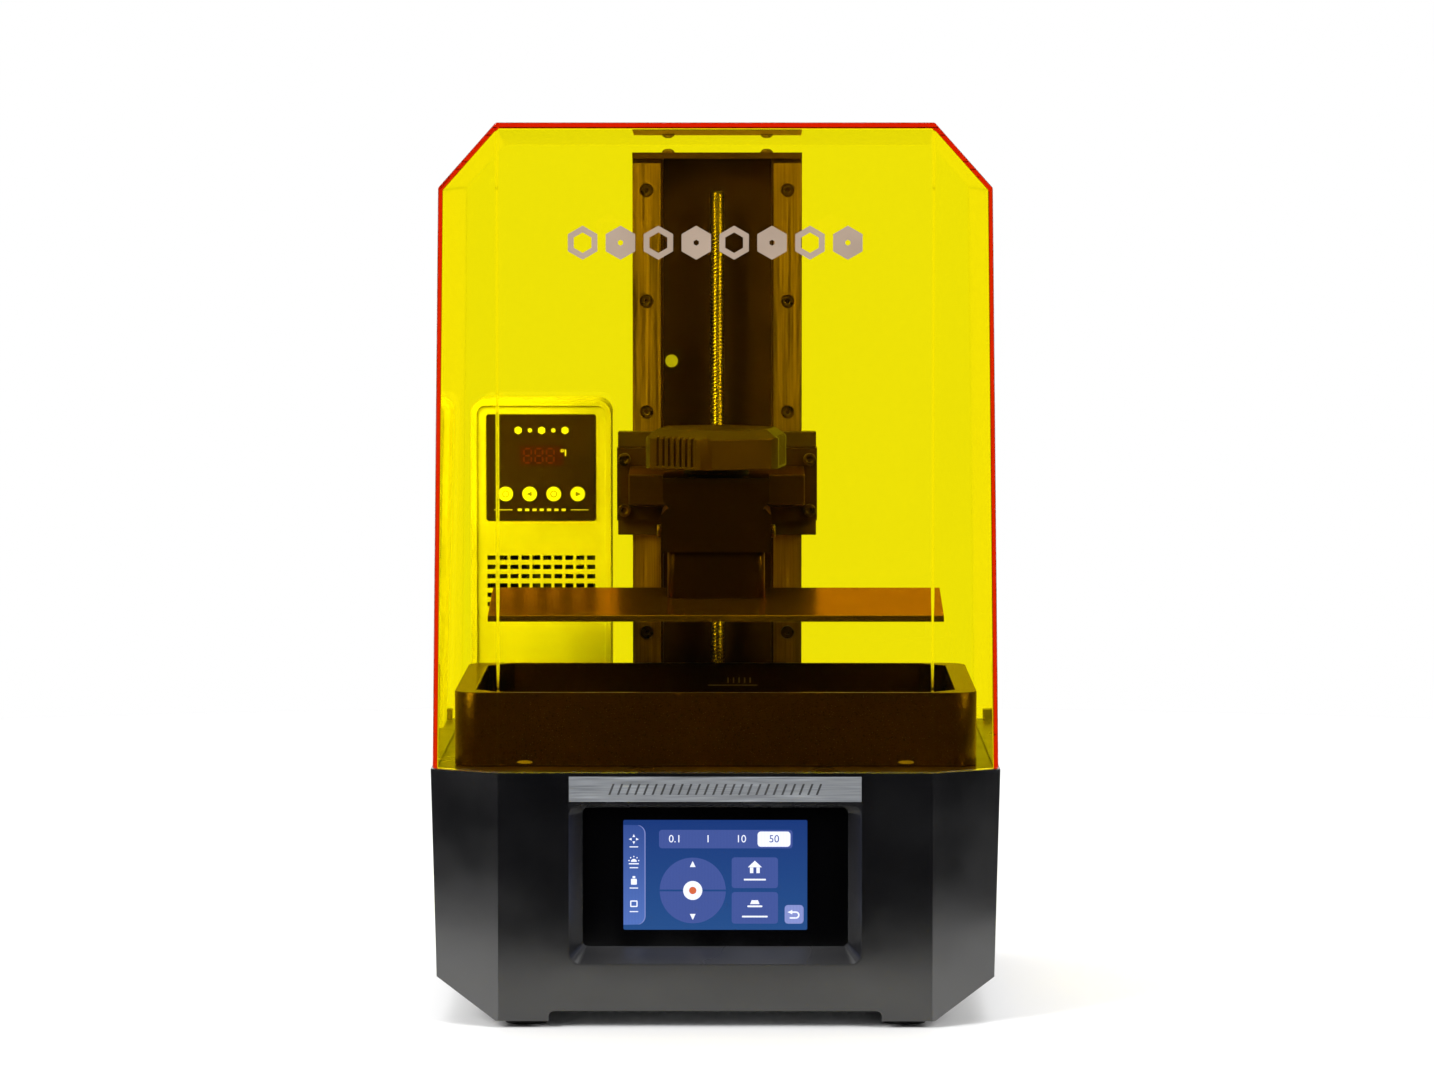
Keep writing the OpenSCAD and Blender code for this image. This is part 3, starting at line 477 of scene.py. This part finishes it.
def make_lead_screw():
    """Four-start trapezoidal thread in place of the plain rod, plain at the foot and chamfered on top."""
    low, high = box_mm("lead_screw")
    middle = (low.y + high.y) / 2
    radius = (high.x - low.x) / 2 - ROD_SLACK
    journal = box_mm("screw_bearing")[1].z + JOURNAL_OVER
    rows = round((high.z - low.z) / THREAD_STEP)
    bm = bmesh.new()
    rings = []
    for row in range(rows + 1):
        z = low.z + (high.z - low.z) * row / rows
        ring = []
        for side in range(THREAD_SIDES):
            turn = side / THREAD_SIDES
            phase = (z / THREAD_PITCH - THREAD_STARTS * turn) % 1
            rise = min(max(THREAD_CREST - THREAD_FLANK * abs(phase - 0.5), 0), 1)
            r = radius if z < journal else radius - THREAD_DEPTH * (1 - rise)
            r = min(r, radius - ROD_CHAMFER + (high.z - z))
            a = math.tau * turn
            ring.append(bm.verts.new((r * math.cos(a), middle + r * math.sin(a), z)))
        rings.append(ring)
    for a, b in zip(rings, rings[1:]):
        for i in range(THREAD_SIDES):
            j = (i + 1) % THREAD_SIDES
            bm.faces.new((a[i], a[j], b[j], b[i]))
    bm.faces.new(rings[0])
    bm.faces.new(rings[-1])
    rod = piece("lead_screw_thread", bm, make["leadscrew_steel"], "screw", 40)
    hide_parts("lead_screw")


# ---------------------------------------------------------------- touch screen

# In millimetres, but TAB_ARC and JOG_GAP in degrees, and LAYER_THICK and STEP_THICK as shares of LAYER
LCD_MARGIN = 3.0
LAYER = 0.04
LAYER_THICK = 0.9
TAB_ROUND = 4.5
TAB_ARC = 75
TAB_LINE = 0.45
KEY_ROUND = 1.6
JOG_RADIUS = 16.9
JOG_GAP = 1.6
JOG_HUB = 4.9
JOG_DOT = 1.9
JOG_ARROW = 13.3
JOG_ARROW_SIZE = 1.9
STEP_TEXT = 5.4
STEP_THICK = 0.4
STEP_LABELS = ("0.1", "1", "10", "50")
STEP_CHOSEN = 3
BUTTON_ROUND = 1.8


class Screen:
    """Places flat shapes on the display: u runs right and v runs down, both from 0 to 1."""

    def __init__(self):
        low, high = box_mm("display_panel")
        self.left = low.x + LCD_MARGIN
        self.top = high.z - LCD_MARGIN
        self.width = high.x - low.x - 2 * LCD_MARGIN
        self.height = high.z - low.z - 2 * LCD_MARGIN
        self.front = box_mm("touch_glass")[0].y

    def at(self, u, v):
        return self.left + u * self.width, self.top - v * self.height

    def panel(self, u0, v0, u1, v1, r):
        x0, z1 = self.at(u0, v0)
        x1, z0 = self.at(u1, v1)
        return rounded(x0, z0, x1, z1, r)

    def show(self, name, outlines, material, layer):
        marks(name, outlines, self.front - layer * LAYER, LAYER * LAYER_THICK, material, "base")


ARROW_POINTS = (0, 130, 230)


def around(x, z, r, degrees):
    """Point at distance r from x, z."""
    a = math.radians(degrees)
    return x + r * math.cos(a), z + r * math.sin(a)


def arrow(x, z, size, turn):
    """Small triangle that points along turn, in degrees from +X."""
    return [around(x, z, size, turn + a) for a in ARROW_POINTS]


def make_screen():
    screen = Screen()
    panel_low, panel_high = box_mm("display_panel")
    low, high = panel_low.z * MM, panel_high.z * MM
    back = glowing("screen_back", (0.014, 0.080, 0.27), 1.0, (0.006, 0.035, 0.20), low, high)
    tab = glowing("screen_tab", (0.10, 0.20, 0.60), 1.0, (0.03, 0.07, 0.30), low, high)
    key = glowing("screen_key", (0.060, 0.100, 0.36), 1.0)
    bright = glowing("screen_bright", (0.85, 0.88, 1.0), 1.3)
    pale = glowing("screen_pale", (0.28, 0.33, 0.72), 1.0)
    orange = glowing("screen_orange", (0.80, 0.16, 0.04), 1.0)

    screen.show("display_back", [screen.panel(0, 0, 1, 1, 0.8)], back, 1)
    left, low_z = screen.at(0, 0.955)
    right, high_z = screen.at(0.120, 0.045)
    r = TAB_ROUND
    edge = (arc(right - r, high_z - r, r, TAB_ARC, 0, 8)
            + arc(right - r, low_z + r, r, 0, -TAB_ARC, 8))
    inner = [(x - TAB_LINE, z) for x, z in reversed(edge)]
    screen.show("display_tab", [[(left, low_z), (left, high_z)] + edge], tab, 2)
    screen.show("display_tab_edge", [edge + inner], pale, 3)
    keys = [screen.panel(0.194, 0.09, 0.92, 0.258, KEY_ROUND),
            screen.panel(0.589, 0.34, 0.841, 0.62, KEY_ROUND),
            screen.panel(0.589, 0.656, 0.841, 0.944, KEY_ROUND)]
    x, z = screen.at(0.377, 0.642)
    keys.append(arc(x, z, JOG_RADIUS, JOG_GAP, 180 - JOG_GAP, 36))
    keys.append(arc(x, z, JOG_RADIUS, 180 + JOG_GAP, 360 - JOG_GAP, 36))
    screen.show("display_keys", keys, key, 2)
    screen.show("display_back_key", [screen.panel(0.877, 0.774, 0.98, 0.944, BUTTON_ROUND)], pale, 2)

    lit = [screen.panel(0.73, 0.105, 0.908, 0.243, KEY_ROUND), disc(x, z, JOG_HUB),
           arrow(x, z + JOG_ARROW, JOG_ARROW_SIZE, 90), arrow(x, z - JOG_ARROW, JOG_ARROW_SIZE, 270)]
    lit += home_icon(*screen.at(0.715, 0.43)) + level_icon(*screen.at(0.715, 0.755))
    lit += [screen.panel(0.655, 0.535, 0.775, 0.550, 0.3), screen.panel(0.645, 0.872, 0.785, 0.887, 0.3)]
    lit += return_icon(*screen.at(0.93, 0.86))
    lit += side_icons(screen)
    screen.show("display_icons", lit, bright, 3)
    screen.show("display_stop", [disc(x, z, JOG_DOT)], orange, 4)
    make_steps(screen, bright, key)


# The icons are drawn in millimetres from their centre.

def home_icon(x, z):
    """House."""
    roof = [(x - 3.6, z), (x + 3.6, z), (x, z + 3.4)]
    return [roof, [(x - 2.5, z - 3), (x - 0.8, z - 3), (x - 0.8, z - 0.1), (x - 2.5, z - 0.1)],
            [(x + 0.8, z - 3), (x + 2.5, z - 3), (x + 2.5, z - 0.1), (x + 0.8, z - 0.1)]]


def level_icon(x, z):
    """Plate over a bed."""
    return [[(x - 2.4, z - 0.6), (x + 2.4, z - 0.6), (x + 1.6, z + 1.4), (x - 1.6, z + 1.4)],
            rounded(x - 3.8, z - 2.2, x + 3.8, z - 1.3, 0.3)]


def return_icon(x, z):
    """Arrow that turns back."""
    hook = arc(x + 0.8, z - 0.3, 1.9, -90, 90, 10)
    inner = arc(x + 0.8, z - 0.3, 1.1, 90, -90, 10)
    return [hook + [(x - 1.4, z + 1.6), (x - 1.4, z + 0.8)] + inner, arrow(x - 2.0, z + 1.2, 1.5, 180),
            rounded(x - 2.4, z - 2.2, x + 0.7, z - 1.4, 0.2)]


def side_icons(screen):
    """Move, light, clean and more, down the left tab, each with a plain bar under it."""
    shapes = []
    centres = [screen.at(0.057, v) for v in (0.175, 0.365, 0.55, 0.765)]
    for x, z in centres:
        shapes.append(rounded(x - 2.2, z - 4.2, x + 2.2, z - 3.7, 0.2))
    x, z = centres[0]
    shapes += [arrow(*around(x, z, 1.7, a), 0.9, a) for a in (0, 90, 180, 270)]
    x, z = centres[1]
    shapes.append(arc(x, z - 0.9, 1.5, 0, 180, 12))
    shapes += [disc(*around(x, z - 0.7, 2.5, a), 0.35, 8) for a in (10, 50, 90, 130, 170)]
    shapes.append(rounded(x - 2.6, z - 2.2, x + 2.6, z - 1.6, 0.2))
    x, z = centres[2]
    shapes += [rounded(x - 1.5, z - 2.2, x + 1.5, z + 0.8, 0.4),
               rounded(x - 0.7, z + 1.1, x + 0.7, z + 2.2, 0.2)]
    x, z = centres[3]
    shapes.append((rounded(x - 1.9, z - 1.6, x + 1.9, z + 1.8, 0.5),
                   rounded(x - 1.3, z - 1.0, x + 1.3, z + 1.2, 0.2)))
    return shapes


def make_steps(screen, light, dark):
    """Step sizes along the top bar: plain numbers."""
    for i, label in enumerate(STEP_LABELS):
        curve = bpy.data.curves.new("step", "FONT")
        curve.body = label
        curve.size = STEP_TEXT
        curve.align_x = "CENTER"
        curve.align_y = "CENTER"
        curve.extrude = LAYER * STEP_THICK
        text = bpy.data.objects.new("step", curve)
        bpy.context.scene.collection.objects.link(text)
        bpy.context.view_layer.update()
        mesh = bpy.data.meshes.new_from_object(text)
        bpy.data.objects.remove(text)
        bm = bmesh.new()
        bm.from_mesh(mesh)
        x, z = screen.at(0.281 + 0.1795 * i, 0.174)
        turn = Matrix.Translation((x, screen.front - 4 * LAYER, z)) @ Matrix.Rotation(math.pi / 2, 4, "X")
        bmesh.ops.transform(bm, matrix=turn, verts=bm.verts)
        piece(f"display_step_{i + 1}", bm, dark if i == STEP_CHOSEN else light, "base")


# ---------------------------------------------------------------- marks and small fittings

# Thin marks stand proud of their face by PROUD and are INK thick
PROUD = 0.03
INK = 0.05
STROKES = 25
STROKE_PITCH = 4.4
STROKE_LEAN = 1.1
STROKE_TALL = 5.6
STROKE_WIDE = 1.1


def make_trim_marks():
    """A row of slanted dark strokes along the brushed plate."""
    low, high = box_mm("trim_plate")
    middle = (low.z + high.z) / 2
    ink = plastic("engraving", (0.03, 0.03, 0.032), 0.5)
    half_w, half_h = STROKE_WIDE / 2, STROKE_TALL / 2
    outlines = []
    for i in range(STROKES):
        x = (i - (STROKES - 1) / 2) * STROKE_PITCH
        bottom, top = x - STROKE_LEAN, x + STROKE_LEAN
        outlines.append([(bottom - half_w, middle - half_h), (bottom + half_w, middle - half_h),
                         (top + half_w, middle + half_h), (top - half_w, middle + half_h)])
    marks("trim_engraving", outlines, low.y - PROUD, INK, ink, "base")


def hexagon(x, z, r):
    return [around(x, z, r, 60 * k + 30) for k in range(6)]


COVER_MARK_Z = 400.4
COVER_MARK_HALF = 67.0
COVER_MARKS = 8
COVER_MARK_R = 8.6
COVER_MARK_HOLES = (5.2, 1.5)
COVER_MARK_PROUD = 0.08
COVER_MARK_INK = 0.06


def make_cover_mark():
    """A row of plain hexagons printed on the cover's front."""
    low = box_mm("cover_shell")[0]
    print_ink = plastic("cover_print", (0.33, 0.25, 0.19), 0.5)
    outlines = []
    for i in range(COVER_MARKS):
        x = -COVER_MARK_HALF + 2 * COVER_MARK_HALF * i / (COVER_MARKS - 1)
        inner = COVER_MARK_HOLES[i % 2]
        outlines.append((hexagon(x, COVER_MARK_Z, COVER_MARK_R), hexagon(x, COVER_MARK_Z, inner)))
    front = low.y - COVER_MARK_PROUD
    marks("cover_print", outlines, front, COVER_MARK_INK, print_ink, "cover")


# Seven segments: place across and up in half widths and half heights, and 1 where upright
SEGMENTS = ((0, 1, 0), (1, 0.5, 1), (1, -0.5, 1), (0, -1, 0), (-1, -0.5, 1), (-1, 0.5, 1), (0, 0, 0))
FIGURE_HALF_W = 2.0
FIGURE_HALF_H = 3.9
FIGURE_BAR = 0.42
FIGURE_GAPS = (0.25, 0.2)
FIGURE_PITCH = 6.2
FIGURES_LEFT = 1.5
FIGURES_PROUD = 0.06
PANEL_PROUD = 0.05
PANEL_INK = 0.04
UNIT_X = 11.3
PANEL_MARK_PITCH = 6.4
PANEL_MARK_DOWN = 8.7
PANEL_MARK_R = (2.2, 1.3)
PANEL_LINE_UP = 6.0
PANEL_LINE_END = 4
PANEL_LINE_INNER = 16
PANEL_LINE_HALF = 0.2
PANEL_DASHES = 7
PANEL_DASH_PITCH = 4
PANEL_DASH_HALF = (1.2, 0.7)


def make_heater_marks():
    """Figures, unit ring, plain mark and line with dashes on the heater's panel, and marks on its buttons."""
    low, high = box_mm("heater_display")
    panel_low, panel_high = box_mm("heater_panel")
    middle = (low.x + high.x) / 2
    glow = glowing("figure_glow", (0.22, 0.035, 0.01), 0.5)
    pale = plastic("panel_print", (0.62, 0.60, 0.52), 0.5)
    bar = FIGURE_BAR
    outlines = []
    for k in (-1, 0, 1):
        cx = middle - FIGURES_LEFT + FIGURE_PITCH * k
        cz = (low.z + high.z) / 2
        for sx, sz, upright in SEGMENTS:
            x, z = cx + sx * FIGURE_HALF_W, cz + sz * FIGURE_HALF_H
            reach_x = bar if upright else FIGURE_HALF_W - bar - FIGURE_GAPS[0]
            reach_z = FIGURE_HALF_H / 2 - bar - FIGURE_GAPS[1] if upright else bar
            outlines.append(rounded(x - reach_x, z - reach_z, x + reach_x, z + reach_z, 0.2, 2))
    marks("heater_figures", outlines, low.y - FIGURES_PROUD, INK, glow, "base")

    unit_x = middle + UNIT_X
    outlines = [(disc(unit_x, high.z - 2.6, 0.9, 16), disc(unit_x, high.z - 2.6, 0.5, 16)),
                rounded(unit_x + 1.4, high.z - 5.6, unit_x + 2.1, high.z - 1.9, 0.2, 2)]
    for i in range(5):
        x = middle + (i - 2) * PANEL_MARK_PITCH
        outlines.append(hexagon(x, panel_high.z - PANEL_MARK_DOWN, PANEL_MARK_R[i % 2]))
    line_z = panel_low.z + PANEL_LINE_UP
    for x0, x1 in ((panel_low.x + PANEL_LINE_END, middle - PANEL_LINE_INNER),
                   (middle + PANEL_LINE_INNER, panel_high.x - PANEL_LINE_END)):
        outlines.append(rounded(x0, line_z - PANEL_LINE_HALF, x1, line_z + PANEL_LINE_HALF, 0.1, 2))
    dash_w, dash_h = PANEL_DASH_HALF
    for i in range(PANEL_DASHES):
        x = middle + (i - (PANEL_DASHES - 1) / 2) * PANEL_DASH_PITCH
        outlines.append(rounded(x - dash_w, line_z - dash_h, x + dash_w, line_z + dash_h, 0.3, 2))
    marks("heater_print", outlines, panel_low.y - PANEL_PROUD, PANEL_INK, pale, "base")

    ink = plastic("button_ink", (0.10, 0.09, 0.07), 0.5)
    for i in range(1, 5):
        low, high = box_mm(f"heater_button_{i}")
        x, z = (low.x + high.x) / 2, (low.z + high.z) / 2
        ring = (disc(x, z, 1.9, 24), disc(x, z, 1.4, 24))
        outlines = [ring] if i % 2 else [arrow(x, z, 1.8, 90 * i)]
        marks(f"heater_button_mark_{i}", outlines, low.y - PROUD, INK, ink, f"button_{i}")


VAT_WALL = 3.0
FILL_DOWN = 12
FILL_SPAN = (-5, 22)
FILL_HALF = 0.3
TICKS = (6, 9, 12, 15, 18)
TICK_SPAN = (1.2, 4.2)
TICK_HALF = 0.4
FILL_PROUD = 0.05
FILL_INK = 0.08
RIVET_PLACES = (-98, 98)
RIVET_UP = 2.4
RIVET_HALF = (4, 0.9)
RIVET_PROUD = 0.25
RIVET_THICK = 0.4


def make_vat_marks():
    """Fill line with its ticks on the inner back wall, and two flush rivets low on the front, whose pale
    colour is a painted highlight.
    """
    low, high = box_mm("vat_frame")
    faint = plastic("vat_print_and_glint", (0.10, 0.055, 0.03), 0.5)
    wall = high.y - VAT_WALL
    line_z = high.z - FILL_DOWN
    outlines = [rounded(FILL_SPAN[0], line_z - FILL_HALF, FILL_SPAN[1], line_z + FILL_HALF, 0.2, 2)]
    tick_low, tick_high = line_z + TICK_SPAN[0], line_z + TICK_SPAN[1]
    outlines += [rounded(x - TICK_HALF, tick_low, x + TICK_HALF, tick_high, 0.2, 2) for x in TICKS]
    marks("vat_fill_line", outlines, wall - FILL_PROUD, FILL_INK, faint, "vat")
    # The rivets take the pale print colour: a painted highlight where the vat's front shows two small glints
    rivet_z = low.z + RIVET_UP
    turns = [math.tau * i / 24 for i in range(24)]
    rivets = [[(x + RIVET_HALF[0] * math.cos(a), rivet_z + RIVET_HALF[1] * math.sin(a)) for a in turns]
              for x in RIVET_PLACES]
    marks("vat_rivets_painted_glint", rivets, low.y - RIVET_PROUD, RIVET_THICK, faint, "vat")


DOT_PLACE = (-25.0, 332.2)
DOT_RADIUS = 3.45
DOT_FRONT = 87.0
DOT_THICK = 0.5


def make_column_dot():
    """Light disc stuck on the column's channel wall."""
    spot = plastic("column_label", (0.42, 0.42, 0.40), 0.6)
    outlines = [disc(*DOT_PLACE, DOT_RADIUS, 32)]
    marks("column_disc", outlines, DOT_FRONT, DOT_THICK, spot, "base")


# ---------------------------------------------------------------- stage, light, view

# Floor ellipse and lights in metres, lights in watts
FLOOR_COLOUR = (0.76, 0.76, 0.76)
FLOOR_CENTRE = 0.55
FLOOR_HALF = (1.3, 0.91)


def make_stage():
    floor_paint = Surface("floor_paint", FLOOR_COLOUR, 0.35)
    floor_paint.relief(floor_paint.noise(40, 3), 0.0002, 0.2)
    bm = bmesh.new()
    bmesh.ops.create_circle(bm, cap_ends=True, segments=96, radius=1)
    bmesh.ops.scale(bm, vec=(*FLOOR_HALF, 1), verts=bm.verts)
    bmesh.ops.translate(bm, vec=(0, FLOOR_CENTRE, 0), verts=bm.verts)
    mesh = bpy.data.meshes.new("floor")
    bm.to_mesh(mesh)
    bm.free()
    mesh.materials.append(floor_paint.material)
    floor = bpy.data.objects.new("floor", mesh)
    bpy.context.scene.collection.objects.link(floor)


BACKDROP = 1.0
FILL_FRONT = 0.006
FILL_BACK = 1.1
# The fill rises where a direction's Y, -1 in front and 1 behind, is between these
FILL_RISE = (-0.45, 0.55)


def make_world():
    """White studio to look at, also through the amber. Its light is dim in front and bright behind."""
    world = bpy.data.worlds.new("studio")
    bpy.context.scene.world = world
    world.use_nodes = True
    tree = world.node_tree
    background = tree.nodes["Background"]
    background.inputs["Color"].default_value = (1, 1, 1, 1)

    def math_node(operation, first, second):
        node = tree.nodes.new("ShaderNodeMath")
        node.operation = operation
        for source, socket in ((first, node.inputs[0]), (second, node.inputs[1])):
            if isinstance(source, float):
                socket.default_value = source
            else:
                tree.links.new(source, socket)
        return node.outputs["Value"]

    path = tree.nodes.new("ShaderNodeLightPath").outputs
    looked = math_node("MAXIMUM", path["Is Camera Ray"], path["Is Transmission Ray"])
    bounced = math_node("ADD", path["Glossy Depth"], path["Diffuse Depth"])
    seen = math_node("MULTIPLY", looked, math_node("LESS_THAN", bounced, 0.5))
    place = tree.nodes.new("ShaderNodeTexCoord")
    axes = tree.nodes.new("ShaderNodeSeparateXYZ")
    tree.links.new(place.outputs["Generated"], axes.inputs["Vector"])
    fill = tree.nodes.new("ShaderNodeMapRange")
    fill.interpolation_type = "SMOOTHSTEP"
    fill.inputs["From Min"].default_value = FILL_RISE[0]
    fill.inputs["From Max"].default_value = FILL_RISE[1]
    fill.inputs["To Min"].default_value = FILL_FRONT
    fill.inputs["To Max"].default_value = FILL_BACK
    tree.links.new(axes.outputs["Y"], fill.inputs["Value"])
    level = tree.nodes.new("ShaderNodeMapRange")
    level.inputs["To Max"].default_value = BACKDROP
    tree.links.new(fill.outputs["Result"], level.inputs["To Min"])
    tree.links.new(seen, level.inputs["Value"])
    tree.links.new(level.outputs["Result"], background.inputs["Strength"])


def area_light(name, place, target, size, power):
    data = bpy.data.lights.new(name, "AREA")
    data.shape = "RECTANGLE"
    data.size, data.size_y = size
    data.energy = power
    light = bpy.data.objects.new(name, data)
    light.location = place
    light.rotation_euler = (Vector(target) - Vector(place)).to_track_quat("-Z", "Y").to_euler()
    bpy.context.scene.collection.objects.link(light)


LIT_MIDDLE = (0, 0, 0.2)
SKY_STRENGTH = 1.7
SKY_ANGLE = 70


def make_lights():
    make_world()
    area_light("left_softbox", (-1.9, -1.6, 1.55), LIT_MIDDLE, (1.2, 1.2), 105)
    area_light("right_softbox", (2.0, -1.5, 1.5), LIT_MIDDLE, (1.0, 1.0), 66)
    data = bpy.data.lights.new("sky_softbox", "SUN")
    data.energy = SKY_STRENGTH
    data.angle = math.radians(SKY_ANGLE)
    bpy.context.scene.collection.objects.link(bpy.data.objects.new("sky_softbox", data))
    scene = bpy.context.scene
    scene.view_settings.view_transform = "Standard"
    scene.cycles.max_bounces = 28
    scene.cycles.glossy_bounces = 24
    scene.cycles.transmission_bounces = 16


# ---------------------------------------------------------------- build

make_camera()
dress_nodes()
for edge_node, edge_width in EDGES.items():
    soften(edge_node, edge_width)
make_lead_screw()
make_screen()
make_trim_marks()
make_cover_mark()
make_heater_marks()
make_vat_marks()
make_column_dot()
make_stage()
make_lights()
